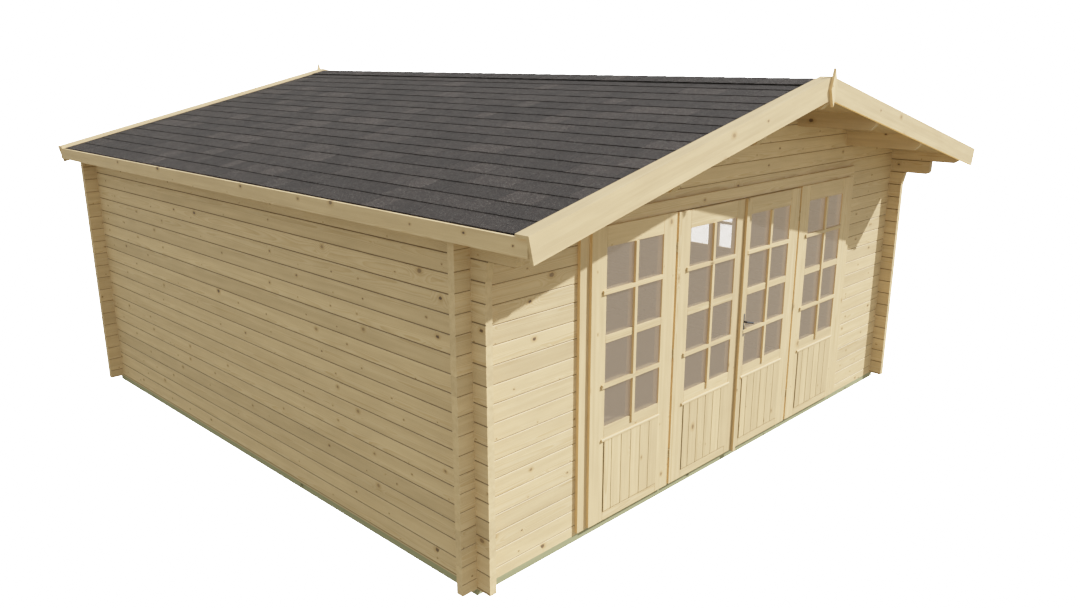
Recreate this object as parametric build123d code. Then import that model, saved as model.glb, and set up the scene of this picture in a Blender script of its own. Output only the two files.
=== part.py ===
from build123d import *
from math import ceil, cos, radians, sin, tan
import os

# Log cabin with interlocking corners, a low gable roof and a glazed double door between two
# fixed side panels. Millimetres, +Z up, front towards -Y. The origin is on the ground, midway
# between the front and rear finials.

# Walls
cabin_width = 5160.0
cabin_depth = 5160.0
log_height = 114.0
log_thickness = 50.0
corner_overrun = 110.0
groove_depth = 5.0
groove_half_height = 5.0
foundation_height = 45.0
foundation_width = 75.0
top_log_outer_height = 64.0
second_log_reach = 350.0
third_log_reach = 135.0
top_log_chamfer_length = 60.0
top_log_chamfer_height = 40.0
second_log_rounding = 30.0

# Roof
roof_pitch = 13.3
roof_deck_thickness = 64.0
shingle_thickness = 10.0
front_overhang = 626.0
rear_overhang = 257.0
eave_overhang = 192.0
fascia_setback = 8.0
ridge_cap_half_width = 150.0
ridge_cap_thickness = 4.0
purlin_height = 114.0
purlin_thickness = 50.0
upper_purlin_offset = 775.0
lower_purlin_offset = 1615.0
purlin_chamfer = 40.0
bargeboard_height = 125.0
bargeboard_thickness = 20.0
cap_strip_width = 90.0
cap_strip_thickness = 20.0
fascia_height = 92.0
fascia_thickness = 18.0
finial_height = 245.0
finial_width = 82.0
finial_thickness = 18.0
finial_top_above_apex = 51.0

# Door set
door_height = 1946.0
door_bottom = 77.0
door_leaf_width = 796.0
side_panel_width = 840.0
meeting_gap = 8.0
hinge_gap = 23.0
leaf_thickness = 42.0
leaf_back_gap = 6.0
outer_stile_width = 137.0
meeting_stile_width = 93.0
top_rail_height = 121.0
bottom_rail_height = 58.0
glazing_rail_height = 86.0
middle_rail_height = 49.0
lower_panel_height = 516.0
panel_proud = 6.0
glass_thickness = 6.0
glass_setback = 8.0
casing_width = 82.0
casing_thickness = 22.0
head_clearance = 6.0
post_width = 45.0
mullion_width = 70.0
threshold_clearance = 8.0
casing_lift = 20.0
cover_strip_width = 34.0
cover_strip_thickness = 20.0
hinge_barrel_radius = 6.0
hinge_pin_radius = 3.0
hinge_bore_clearance = 0.1
hinge_knuckle_height = 32.0
hinge_knuckle_gap = 1.0
hinge_plate_thickness = 2.5
hinge_plate_depth = 30.0
hinge_bottom_distance = 239.0
hinge_top_distance = 230.0
handle_height = 1096.0
handle_inset = 62.0
backplate_width = 30.0
backplate_below_handle = 117.0
backplate_above_handle = 57.0
backplate_thickness = 5.0
lever_length = 90.0
lever_droop = 15.0
lever_radius = 8.0
lever_standoff = 34.0
spindle_clearance = 2.0

# Side window in the right wall
window_sill_course_count = 8
window_height_course_count = 8
window_offset = -760.0
window_opening_width = 836.0
window_frame_width = 18.0
window_casing_width = 60.0
window_casing_thickness = 20.0
window_sash_width = 38.0
window_sash_thickness = 40.0
window_frame_clearance = 2.0

os.makedirs("parts", exist_ok=True)

# Values worked out from the sizes above
half_width = cabin_width / 2
half_depth = cabin_depth / 2
wall_shift = (front_overhang - rear_overhang) / 2
front_face = wall_shift - half_depth
rear_face = wall_shift + half_depth
window_centre_y = wall_shift + window_offset
window_y_range = (window_centre_y - window_opening_width / 2, window_centre_y + window_opening_width / 2)
side_log_base = log_height / 2
window_low = side_log_base + log_height * window_sill_course_count
window_high = window_low + log_height * window_height_course_count
quarter_log = log_height / 4
slope = tan(radians(roof_pitch))
pitch_cos = cos(radians(roof_pitch))
door_top = door_bottom + door_height
door_head_top = door_top + head_clearance + post_width
side_course_count = ceil((door_head_top - side_log_base) / log_height)
side_top_groove = side_log_base + log_height * side_course_count
ridge_underside = side_top_groove + top_log_outer_height + slope * half_width
deck_rise = roof_deck_thickness / pitch_cos
shingle_rise = shingle_thickness / pitch_cos
ridge_top = ridge_underside + deck_rise + shingle_rise
roof_front = front_face - front_overhang
roof_rear = rear_face + rear_overhang
deck_front = roof_front + bargeboard_thickness
deck_rear = roof_rear - bargeboard_thickness
board_reach = half_width + eave_overhang
fascia_outer = board_reach - fascia_setback
deck_edge = fascia_outer - fascia_thickness
top_log_reach = front_overhang - bargeboard_thickness
front_split = log_height * side_course_count
panel_outer = meeting_gap / 2 + door_leaf_width + hinge_gap + side_panel_width
leaf_outer = meeting_gap / 2 + door_leaf_width
opening_half_width = panel_outer + post_width
leaf_front = front_face - leaf_thickness
frame_front = front_face + leaf_back_gap
frame_back = front_face + log_thickness
hinge_x = leaf_outer + hinge_gap / 2
tall_enough = ridge_top + log_height


def save(name, shape):
    """Write one named piece to its STEP file."""
    export_step(shape, f"parts/{name}.step")


def box(x_range, y_range, z_range):
    """A plain block between pairs of X, Y and Z values."""
    size = [abs(pair[1] - pair[0]) for pair in (x_range, y_range, z_range)]
    centre = [(pair[0] + pair[1]) / 2 for pair in (x_range, y_range, z_range)]
    return Pos(*centre) * Box(*size)


def prism(points, direction, length):
    """A flat outline of 3-D points, pushed along a direction."""
    outline = make_face(Polyline(*points, close=True))
    return extrude(outline, amount=length, dir=direction)


def underside(x):
    """Height of the roof deck's underside at a distance from the ridge."""
    return ridge_underside - slope * abs(x)


def grooved_outline(bottom, top, first_groove):
    """Half outline of a log wall: (depth below the face, height) from bottom to top."""
    points = [(0.0, bottom)]
    level = first_groove
    while level < top - groove_half_height:
        if level > bottom + groove_half_height:
            points.append((0.0, level - groove_half_height))
            points.append((groove_depth, level))
            points.append((0.0, level + groove_half_height))
        level += log_height
    points.append((0.0, top))
    return points


def cross_wall(x_range, outer_y, inner_y, bottom, top):
    """Logs running left to right, with V-grooves on both faces."""
    side = 1 if inner_y > outer_y else -1
    half = grooved_outline(bottom, top, log_height)
    outer = [(x_range[0], outer_y + side * depth, z) for depth, z in half]
    inner = [(x_range[0], inner_y - side * depth, z) for depth, z in reversed(half)]
    return prism(outer + inner, (1, 0, 0), x_range[1] - x_range[0])


def side_wall(outer_x, inner_x, y_range, bottom, top):
    """Logs running front to back, half a log out of step with the cross walls."""
    side = 1 if inner_x > outer_x else -1
    half = grooved_outline(bottom, top, side_log_base + log_height)
    outer = [(outer_x + side * depth, y_range[0], z) for depth, z in half]
    inner = [(inner_x - side * depth, y_range[0], z) for depth, z in reversed(half)]
    return prism(outer + inner, (0, 1, 0), y_range[1] - y_range[0])


def crossing_bands(first_centre):
    """Height bands that the logs centred there fill where two walls cross."""
    bands = []
    centre = first_centre
    while centre < ridge_underside:
        bands.append((centre - quarter_log, centre + quarter_log))
        centre += log_height
    return bands


def corner_notches(bands, x_ranges, y_ranges):
    """Notch blocks for every band in every corner given."""
    blocks = []
    for x_range in x_ranges:
        for y_range in y_ranges:
            for band in bands:
                blocks.append(box(x_range, y_range, band))
    return blocks


side_log_bands = crossing_bands(log_height)
cross_log_bands = crossing_bands(log_height / 2)
left_strip = (-half_width, -half_width + log_thickness)
right_strip = (half_width - log_thickness, half_width)
front_strip = (front_face, front_face + log_thickness)
rear_strip = (rear_face - log_thickness, rear_face)


def roof_prism(lift, y_range, reach):
    """Solid below the deck underside line, lifted by a given height, out to a half width."""
    points = [
        (-reach, y_range[0], 0.0),
        (reach, y_range[0], 0.0),
        (reach, y_range[0], underside(reach) + lift),
        (0.0, y_range[0], ridge_underside + lift),
        (-reach, y_range[0], underside(reach) + lift),
    ]
    return prism(points, (0, 1, 0), y_range[1] - y_range[0])


def purlin_positions():
    """X centres of the purlins: ridge, upper pair and lower pair."""
    return [0.0, -upper_purlin_offset, upper_purlin_offset, -lower_purlin_offset, lower_purlin_offset]


def purlin_bottom(x):
    """Underside height of the purlin centred at x."""
    inner_edge = max(abs(x) - purlin_thickness / 2, 0.0)
    return underside(inner_edge) - purlin_height


def purlin_notches(y_range):
    """Blocks that clear the gable wall for the purlins."""
    blocks = []
    for x in purlin_positions():
        x_range = (x - purlin_thickness / 2, x + purlin_thickness / 2)
        blocks.append(box(x_range, y_range, (purlin_bottom(x), tall_enough)))
    return blocks


def make_purlin(x):
    """One purlin with its top cut to the roof slope and its ends chamfered below."""
    bottom = purlin_bottom(x)
    low = deck_front
    high = deck_rear
    side_points = [
        (x - purlin_thickness / 2, low, bottom + purlin_chamfer),
        (x - purlin_thickness / 2, low + purlin_chamfer, bottom),
        (x - purlin_thickness / 2, high - purlin_chamfer, bottom),
        (x - purlin_thickness / 2, high, bottom + purlin_chamfer),
        (x - purlin_thickness / 2, high, tall_enough),
        (x - purlin_thickness / 2, low, tall_enough),
    ]
    blank = prism(side_points, (1, 0, 0), purlin_thickness)
    return blank & roof_prism(0.0, (low, high), half_width)


def make_foundation():
    """Treated beams under the walls: two full-length side beams and two between them."""
    inner_x = half_width - foundation_width
    levels = (0.0, foundation_height)
    sides = []
    crosses = []
    for sign in (-1, 1):
        sides.append(box((sign * half_width, sign * inner_x), (front_face, rear_face), levels))
    for y_range in ((front_face, front_face + foundation_width), (rear_face - foundation_width, rear_face)):
        crosses.append(box((-inner_x, inner_x), y_range, levels))
    save("foundation_side_beams", Compound(sides))
    save("foundation_cross_beams", Compound(crosses))


def make_front_walls():
    """Front wall beside the door set, and the gable above it."""
    reach = half_width + corner_overrun
    notch_y = [front_strip]
    for name, sign, strip in (("left", -1, left_strip), ("right", 1, right_strip)):
        x_range = sorted((sign * reach, sign * opening_half_width))
        wall = cross_wall(x_range, *front_strip, foundation_height, front_split)
        roof_cut = roof_prism(0.0, (front_face - log_height, front_face + log_height), reach)
        wall = (wall & roof_cut) - corner_notches(side_log_bands, [strip], notch_y)
        save(f"front_wall_{name}", wall)


def end_wall(outer_y, inner_y, bottom, x_reach, cuts):
    """A whole-width wall of cross logs trimmed to the roof line, with purlin notches."""
    low = min(outer_y, inner_y)
    high = max(outer_y, inner_y)
    wall = cross_wall((-x_reach, x_reach), outer_y, inner_y, bottom, ridge_underside)
    wall = wall & roof_prism(0.0, (low - log_height, high + log_height), x_reach)
    notches = corner_notches(side_log_bands, [left_strip, right_strip], [(low, high)])
    return wall - (notches + purlin_notches((low, high)) + cuts)


def make_gable_and_rear():
    """The front gable over the door set, and the rear wall with its gable."""
    reach = half_width + corner_overrun
    door_pocket = box(
        (-opening_half_width, opening_half_width), front_strip, (0.0, door_head_top)
    )
    gable = end_wall(front_face, front_face + log_thickness, front_split, reach, [])
    save("front_gable", gable - door_pocket)
    rear = end_wall(rear_face, rear_face - log_thickness, foundation_height, reach, [])
    save("rear_wall", rear)


def front_overrun_shape():
    """Outline in Y and Z of the log ends past the front wall, longer and shaped at the top."""
    top_bottom = side_top_groove
    second_bottom = top_bottom - log_height
    third_bottom = second_bottom - log_height
    reaches = [
        (corner_overrun, foundation_height),
        (corner_overrun, third_bottom),
        (third_log_reach, second_bottom),
        (second_log_reach - second_log_rounding, second_bottom),
        (second_log_reach - second_log_rounding * 0.3, second_bottom + second_log_rounding * 0.3),
        (second_log_reach, second_bottom + second_log_rounding),
        (second_log_reach, top_bottom),
        (top_log_reach - top_log_chamfer_length, top_bottom),
        (top_log_reach, top_bottom + top_log_chamfer_height),
        (top_log_reach, tall_enough),
    ]
    return [(front_face - reach, level) for reach, level in reaches]


def rear_overrun_shape():
    """Plain log ends past the rear wall, with only the top log reaching out to the rear board."""
    top_bottom = side_top_groove
    board_back = rear_overhang - bargeboard_thickness
    reaches = [
        (corner_overrun, foundation_height),
        (corner_overrun, top_bottom),
        (board_back - top_log_chamfer_length, top_bottom),
        (board_back, top_bottom + top_log_chamfer_height),
        (board_back, tall_enough),
    ]
    return [(rear_face + reach, level) for reach, level in reaches]


def side_wall_blank(sign):
    """A side wall over its whole length, trimmed at its ends and to the roof, and notched."""
    outer = sign * half_width
    inner = sign * (half_width - log_thickness)
    y_range = (deck_front, deck_rear)
    wall_top = underside(half_width - log_thickness) + log_height
    wall = side_wall(outer, inner, y_range, foundation_height, wall_top)
    profile = front_overrun_shape() + rear_overrun_shape()[::-1]
    outline = [(outer, y, z) for y, z in profile]
    trimmed = prism(outline, (-sign, 0, 0), log_thickness)
    wall = wall & trimmed & roof_prism(0.0, y_range, half_width)
    strips = [left_strip] if sign < 0 else [right_strip]
    return wall - corner_notches(cross_log_bands, strips, [front_strip, rear_strip])


def make_side_walls():
    """The closed left wall, and the right wall in four pieces round its window."""
    save("left_wall", side_wall_blank(-1))
    right = side_wall_blank(1)
    y_low, y_high = window_y_range
    x_range = (half_width - 2 * log_thickness, half_width + log_thickness)
    ends = (deck_front, deck_rear)
    save("right_wall_lower", right & box(x_range, ends, (0.0, window_low)))
    save("right_wall_front_bay", right & box(x_range, (ends[0], y_low), (window_low, window_high)))
    save("right_wall_rear_bay", right & box(x_range, (y_high, ends[1]), (window_low, window_high)))
    save("right_wall_upper", right & box(x_range, ends, (window_high, tall_enough)))


def make_purlins():
    """Ridge purlin and two pairs of purlins that carry the overhangs."""
    save("ridge_purlin", make_purlin(0.0))
    save("upper_purlins", Compound([make_purlin(sign * upper_purlin_offset) for sign in (-1, 1)]))
    save("lower_purlins", Compound([make_purlin(sign * lower_purlin_offset) for sign in (-1, 1)]))


def roof_layer(sign, lower, upper, inner_x, outer_x, y_range):
    """One sloping roof layer between two heights above the deck underside line."""
    points = [
        (sign * inner_x, y_range[0], underside(inner_x) + lower),
        (sign * outer_x, y_range[0], underside(outer_x) + lower),
        (sign * outer_x, y_range[0], underside(outer_x) + upper),
        (sign * inner_x, y_range[0], underside(inner_x) + upper),
    ]
    return prism(points, (0, 1, 0), y_range[1] - y_range[0])


def make_roof_covering():
    """Roof decks, shingle layers and the ridge cap."""
    y_range = (deck_front, deck_rear)
    for name, sign in (("left", -1), ("right", 1)):
        deck = roof_layer(sign, 0.0, deck_rise, 0.0, deck_edge, y_range)
        save(f"roof_deck_{name}", deck)
        shingles = roof_layer(sign, deck_rise, deck_rise + shingle_rise, 0.0, deck_edge, y_range)
        save(f"shingles_{name}", shingles)
    lift = deck_rise + shingle_rise
    cap_front = roof_front + cap_strip_width
    cap_rear = roof_rear - cap_strip_width
    cap = roof_layer(1, lift, lift + ridge_cap_thickness, 0.0, ridge_cap_half_width, (cap_front, cap_rear))
    cap += roof_layer(-1, lift, lift + ridge_cap_thickness, 0.0, ridge_cap_half_width, (cap_front, cap_rear))
    save("ridge_cap", cap)


def sloping_board(sign, top_lift, height, length_along_x, y_range):
    """A board along the gable edge with square-cut lower end, below the given lift."""
    top_x = length_along_x
    drop = height / pitch_cos
    end_shift = height * sin(radians(roof_pitch))
    points = [
        (0.0, y_range[0], underside(0.0) + top_lift),
        (sign * top_x, y_range[0], underside(top_x) + top_lift),
        (sign * (top_x - end_shift), y_range[0], underside(top_x) + top_lift - height * pitch_cos),
        (0.0, y_range[0], underside(0.0) + top_lift - drop),
    ]
    return prism(points, (0, 1, 0), y_range[1] - y_range[0])


def make_gable_boards():
    """Bargeboards and the cap strips on top of them, front and rear."""
    lift = deck_rise + shingle_rise
    cap_rise = cap_strip_thickness / pitch_cos
    cap_shift = cap_strip_thickness * sin(radians(roof_pitch))
    front_board = (roof_front, deck_front)
    rear_board = (deck_rear, roof_rear)
    front_cap = (roof_front, roof_front + cap_strip_width)
    rear_cap = (roof_rear - cap_strip_width, roof_rear)
    for name, sign in (("left", -1), ("right", 1)):
        boards = []
        caps = []
        for board_range, cap_range in ((front_board, front_cap), (rear_board, rear_cap)):
            boards.append(sloping_board(sign, lift, bargeboard_height, board_reach, board_range))
            caps.append(
                sloping_board(sign, lift + cap_rise, cap_strip_thickness, board_reach + cap_shift, cap_range)
            )
        save(f"bargeboards_{name}", Compound(boards))
        save(f"cap_strips_{name}", Compound(caps))


def make_fascias():
    """Eave boards over the ends of the roof deck."""
    top = underside(fascia_outer) + deck_rise + shingle_rise
    boards = []
    for sign in (-1, 1):
        x_range = (sign * deck_edge, sign * fascia_outer)
        boards.append(box(x_range, (deck_front, deck_rear), (top - fascia_height, top)))
    save("eave_fascias", Compound(boards))


def make_finials():
    """Kite-shaped plates over the apex of the bargeboards."""
    apex = ridge_top + cap_strip_thickness / pitch_cos
    top = apex + finial_top_above_apex
    bottom = top - finial_height
    widest = bottom + finial_height * 0.45
    plates = []
    for face, direction in ((roof_front, -1), (roof_rear, 1)):
        points = [
            (0.0, face, bottom),
            (finial_width / 2, face, widest),
            (0.0, face, top),
            (-finial_width / 2, face, widest),
        ]
        plates.append(prism(points, (0, direction, 0), finial_thickness))
    save("finials", Compound(plates))


def make_door_frame():
    """Outer posts, posts behind the hinges, head, threshold and casing of the door set."""
    head_bottom = door_top + head_clearance
    threshold_top = door_bottom - threshold_clearance
    depth = (frame_front, frame_back)
    posts = []
    for sign in (-1, 1):
        posts.append(box((sign * panel_outer, sign * opening_half_width), (front_face, frame_back),
                         (foundation_height, door_head_top)))
        centre = sign * hinge_x
        x_range = (centre - mullion_width / 2, centre + mullion_width / 2)
        posts.append(box(x_range, depth, (threshold_top, head_bottom)))
    save("door_posts", Compound(posts))
    inner_span = (-panel_outer, panel_outer)
    save("door_head", box(inner_span, (front_face, frame_back), (head_bottom, door_head_top)))
    save("door_threshold", box(inner_span, (front_face, frame_back), (foundation_height, threshold_top)))
    casing_depth = (front_face - casing_thickness, front_face)
    casing_bottom = foundation_height + casing_lift
    sides = []
    for sign in (-1, 1):
        x_range = (sign * panel_outer, sign * (panel_outer + casing_width))
        sides.append(box(x_range, casing_depth, (casing_bottom, head_bottom)))
    save("door_casing_sides", Compound(sides))
    outer = panel_outer + casing_width
    save("door_casing_head", box((-outer, outer), casing_depth, (head_bottom, head_bottom + casing_width)))


def leaf_frame(x_range, left_stile, right_stile, back, top):
    """Stiles and rails of one glazed leaf, with a boarded lower panel raised on its front."""
    low, high = x_range
    y_range = (leaf_front, back)
    frame = box(x_range, y_range, (door_bottom, top))
    inside = (low + left_stile, high - right_stile)
    panel_bottom = door_bottom + bottom_rail_height
    panel_top = panel_bottom + lower_panel_height
    glass_bottom = panel_top + glazing_rail_height
    glass_top = door_top - top_rail_height
    middle = (glass_bottom + glass_top) / 2
    lower_light = (glass_bottom, middle - middle_rail_height / 2)
    upper_light = (middle + middle_rail_height / 2, glass_top)
    cuts = [box(inside, y_range, lower_light), box(inside, y_range, upper_light)]
    panel = box(inside, (leaf_front - panel_proud, leaf_front), (panel_bottom, panel_top))
    glass_front = leaf_front + glass_setback
    panes = []
    for light in (lower_light, upper_light):
        panes.append(box(inside, (glass_front, glass_front + glass_thickness), light))
    return frame - cuts + panel, Compound(panes)


def make_side_panels():
    """Fixed glazed panels beside the doors."""
    inner = panel_outer - side_panel_width
    frames = []
    panes = []
    top = door_top + head_clearance
    for x_range in ((-panel_outer, -inner), (inner, panel_outer)):
        frame, glass = leaf_frame(x_range, outer_stile_width, outer_stile_width, frame_front, top)
        frames.append(frame)
        panes += glass.solids()
    save("side_panels", Compound(frames))
    save("side_panel_glass", Compound(panes))


def hinge_levels():
    """Heights of the hinge joints, where the two knuckles meet."""
    low = door_bottom + hinge_bottom_distance
    high = door_top - hinge_top_distance
    return [low, (low + high) / 2, high]


def make_hinges(sign):
    """Fixed pins with lower knuckles, and the upper knuckles on the leaf, for one leaf."""
    x = sign * hinge_x
    fixed = []
    moving = []
    plate_y = (leaf_front, leaf_front + hinge_plate_depth)
    for level in hinge_levels():
        knuckle = Pos(x, leaf_front, level - hinge_knuckle_height / 2)
        fixed_part = knuckle * Cylinder(hinge_barrel_radius, hinge_knuckle_height)
        pin_length = 2 * hinge_knuckle_height
        fixed_part += Pos(x, leaf_front, level) * Cylinder(hinge_pin_radius, pin_length)
        panel_edge = sign * (leaf_outer + hinge_gap)
        plate_x = (panel_edge - sign * hinge_plate_thickness, panel_edge)
        fixed_part += box(plate_x, plate_y, (level - hinge_knuckle_height, level))
        fixed_part += box((x, panel_edge), (leaf_front, leaf_front + hinge_plate_thickness),
                          (level - hinge_knuckle_height, level))
        fixed.append(fixed_part)
        base = level + hinge_knuckle_gap
        height = hinge_knuckle_height
        bore = Pos(x, leaf_front, base + height / 2) * Cylinder(
            hinge_pin_radius + hinge_bore_clearance, height + 2 * hinge_knuckle_gap
        )
        moving_part = Pos(x, leaf_front, base + height / 2) * Cylinder(hinge_barrel_radius, height)
        leaf_edge = sign * leaf_outer
        plate_x = (leaf_edge, leaf_edge + sign * hinge_plate_thickness)
        moving_part += box(plate_x, plate_y, (base, base + height))
        moving_part += box((leaf_edge, x), (leaf_front, leaf_front + hinge_plate_thickness),
                           (base, base + height))
        moving.append(moving_part - bore)
    return fixed, moving


def spindle_cut(x):
    """The hole through a leaf for the lever spindle."""
    radius = lever_radius + spindle_clearance
    return Pos(x, (leaf_front + front_face) / 2, handle_height) * Rot(90, 0, 0) * Cylinder(
        radius, leaf_thickness + 4 * backplate_thickness
    )


def make_door_leaves():
    """The two opening leaves with their glass, hinges, cover strip and lever."""
    left_range = (-leaf_outer, -meeting_gap / 2)
    right_range = (meeting_gap / 2, leaf_outer)
    stiles = (outer_stile_width, meeting_stile_width)
    left_frame, left_glass = leaf_frame(left_range, *stiles, front_face, door_top)
    right_frame, right_glass = leaf_frame(right_range, *reversed(stiles), front_face, door_top)
    handle_x = meeting_gap / 2 + handle_inset
    hole = spindle_cut(handle_x)
    save("door_leaf_left", left_frame)
    save("door_glass_left", left_glass)
    save("door_leaf_right", right_frame - hole)
    save("door_glass_right", right_glass)
    fixed = []
    for name, sign in (("left", -1), ("right", 1)):
        pins, knuckles = make_hinges(sign)
        fixed += pins
        save(f"door_hinges_{name}", Compound(knuckles))
    save("door_hinge_pins", Compound(fixed))
    strip_x = (meeting_gap / 2, meeting_gap / 2 + cover_strip_width)
    strip_y = (leaf_front - cover_strip_thickness, leaf_front)
    save("door_cover_strip", box(strip_x, strip_y, (foundation_height + casing_lift, door_top)))
    plates = []
    plate_x = (handle_x - backplate_width / 2, handle_x + backplate_width / 2)
    plate_z = (handle_height - backplate_below_handle, handle_height + backplate_above_handle)
    for face, direction in ((leaf_front, -1), (front_face, 1)):
        y_range = (face, face + direction * backplate_thickness)
        plates.append(box(plate_x, y_range, plate_z) - hole)
    save("door_backplates", Compound(plates))
    save("door_lever", make_lever(handle_x))


def make_lever(x):
    """Outside and inside lever grips on one spindle, drooping a little towards their ends."""
    front_y = leaf_front - lever_standoff
    back_y = front_face + lever_standoff
    centre = Pos(x, (front_y + back_y) / 2, handle_height)
    lever = centre * Rot(90, 0, 0) * Cylinder(lever_radius, back_y - front_y)
    for y in (front_y, back_y):
        root = Pos(x, y, handle_height) * Rot(0, lever_droop, 0)
        lever += root * Sphere(lever_radius)
        lever += root * Pos(lever_length / 2, 0, 0) * Rot(0, 90, 0) * Cylinder(lever_radius, lever_length)
        lever += root * Pos(lever_length, 0, 0) * Sphere(lever_radius)
    return lever


def make_window():
    """Frame with outer and inner casing, sash and glass of the side window."""
    low, high = window_low, window_high
    y_low, y_high = window_y_range
    inner_x = half_width - log_thickness
    gap = window_frame_clearance

    def ring(x_range, outside, width):
        """A rectangular ring standing in the wall plane."""
        block = box(x_range, (y_low - outside, y_high + outside), (low - outside, high + outside))
        inside = outside - width
        hole = box(x_range, (y_low - inside, y_high + inside), (low - inside, high + inside))
        return block - hole

    frame = ring((inner_x, half_width), -gap, window_frame_width)
    lap = window_casing_width - window_frame_width
    for face, direction in ((half_width, 1), (inner_x, -1)):
        x_range = sorted((face, face + direction * window_casing_thickness))
        frame += ring(x_range, lap, window_casing_width - gap)
    save("window_frame", frame)
    sash_outside = -(window_frame_width + gap)
    sash_x = (half_width - window_sash_thickness, half_width)
    save("window_sash", ring(sash_x, sash_outside, window_sash_width))
    glass_inside = sash_outside - window_sash_width
    glass_x = half_width - window_sash_thickness / 2
    save("window_glass", box(
        (glass_x - glass_thickness / 2, glass_x + glass_thickness / 2),
        (y_low - glass_inside, y_high + glass_inside),
        (low - glass_inside, high + glass_inside),
    ))


make_foundation()
make_front_walls()
make_gable_and_rear()
make_side_walls()
make_purlins()
make_roof_covering()
make_gable_boards()
make_fascias()
make_finials()
make_door_frame()
make_side_panels()
make_door_leaves()
make_window()
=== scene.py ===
import math
import random

import bmesh
import bpy
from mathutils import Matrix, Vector


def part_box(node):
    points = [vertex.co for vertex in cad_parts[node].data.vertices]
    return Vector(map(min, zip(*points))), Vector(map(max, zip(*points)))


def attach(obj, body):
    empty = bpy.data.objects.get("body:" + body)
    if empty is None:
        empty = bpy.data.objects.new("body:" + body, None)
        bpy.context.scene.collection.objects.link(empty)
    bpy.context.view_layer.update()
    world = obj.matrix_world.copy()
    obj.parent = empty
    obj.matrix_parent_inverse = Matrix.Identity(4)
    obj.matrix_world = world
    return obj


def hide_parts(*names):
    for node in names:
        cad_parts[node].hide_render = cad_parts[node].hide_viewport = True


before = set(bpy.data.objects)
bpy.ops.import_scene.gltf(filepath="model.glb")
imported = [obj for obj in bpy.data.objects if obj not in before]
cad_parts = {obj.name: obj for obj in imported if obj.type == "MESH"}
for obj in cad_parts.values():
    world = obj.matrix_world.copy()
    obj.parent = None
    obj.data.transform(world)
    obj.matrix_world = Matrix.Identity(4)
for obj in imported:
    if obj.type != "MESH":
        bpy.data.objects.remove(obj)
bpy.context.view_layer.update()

# Looks of a log cabin with a glazed double door. Metres, +Z up, front towards -Y.

# Walls and roof, as built
log_height = 0.114
side_log_base = log_height / 2
roof_pitch = math.radians(13.3)
slope = math.tan(roof_pitch)

# Door leaves and side panels, as built
outer_stile_width = 0.137
meeting_stile_width = 0.093
bottom_rail_height = 0.058
middle_rail_height = 0.049
lower_panel_height = 0.516
panel_proud = 0.006
side_panel_width = 0.840
lever_radius = 0.008

# Joinery detail
arris = 0.0012
board_arris = 0.0018
small_arris = 0.0004
bevel_segments = 2
narrow_board_width = 0.075
board_count = 6
board_foot_height = 0.012
board_gap = 0.0036
board_gap_depth = 0.010
joint_gap = 0.0014
bar_width = 0.027
bar_proud = 0.011
bar_overlap = 0.035
bar_foot = 0.043
bar_setback = 0.001
moulding_height = 0.017
moulding_proud = 0.011
moulding_drop = 0.008
moulding_left_overlap = 0.028
moulding_right_overlap = 0.008
moulding_slope_share = 0.3
moulding_top_share = 0.6
window_bar_width = 0.026
window_frame_width = 0.018
window_casing_width = 0.060
window_casing_thickness = 0.020
window_casing_gap = 0.002
window_sash_width = 0.038

# Roof covering
tab_widths = (0.135, 0.165, 0.2, 0.25, 0.333)
course_pitch = 0.1588
first_course_edge = 0.108
tab_headlap = 0.026
tab_thickness = 0.0042
tab_lift = 0.0056
tab_top_lift = 0.0006
tab_slot = 0.003
tab_unevenness = 0.003
tab_lift_jitter = (-0.0008, 0.0002)
tab_edge_jitter = 0.0015
underlay_thickness = 0.0005
ridge_clearance = 0.001
ridge_piece_length = 0.17
ridge_piece_overlap = 0.03
ridge_piece_thickness = 0.0034
ridge_tucked_lift = 0.0005
ridge_lapped_lift = 0.0040
ridge_half_width = 0.150
roof_board_width = 0.112
roof_board_chamfer = 0.004

# Ironmongery detail
keyhole_drop = 0.072
cylinder_radius = 0.0085
cylinder_height = 0.004
cylinder_root = 0.001
cylinder_foot_share = 0.55
cylinder_foot_drop = 0.019
cylinder_corners = 20
screw_radius = 0.0034
screw_height = 0.0012
screw_root = 0.0005
screw_inset = 0.012
screw_corners = 14

# Camera, from the vanishing points of the photograph
camera_place = (-5.5275, -5.7783, 2.992)
camera_tilt = math.radians(90 - 15.53)
camera_turn = math.radians(-45.69)
camera_lens = 29.49
camera_sensor = 36.0

# Light
sun_travel = Vector((-0.63, 0.50, -0.59))
sun_strength = 9.2
sun_colour = (0.94, 0.965, 1.0)
sun_angle = math.radians(0.7)
sky_colour = (0.92, 0.96, 0.95)
sky_strength = 1.05
backdrop_strength = 9.0
floor_size = 60.0
floor_inset = 0.03
floor_colour = (0.10, 0.085, 0.055)
floor_glow_colour = (1.0, 0.86, 0.48)
floor_glow = 0.34
floor_inside_colour = (0.42, 0.31, 0.20)
floor_roughness = 0.9
white = (1.0, 1.0, 1.0)

# Tone curve that eases bright colours towards white
tone_white = 6.0
tone_stops = (0.02, 0.05, 0.09, 0.14, 0.20, 0.28, 0.40, 0.60)

# Painted shade: a dark line where two logs meet, wider on the shaded wall than on the sunlit one
shaded_joint_line = 0.0024
sunlit_joint_line = 0.0012
joint_shade_share = 0.85

# Painted light on narrow board sides that look left or down, away from the sun: a warm painted bounce light,
# painted groove shade on the panel boards, and a painted glow
joinery_painted_side_share = 0.8
board_painted_glow = 0.5
painted_side_glow_colour = (1.0, 0.60, 0.19)
turned_start = 0.60
turned_full = 0.85

# Share of a face's normal along the grain at which it shows end grain
cut_start = 0.60
cut_full = 0.75

# Ranges in which noise varies
narrow_noise = (0.3, 0.7)
middle_noise = (0.25, 0.75)
wide_noise = (0.2, 0.8)

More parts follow.
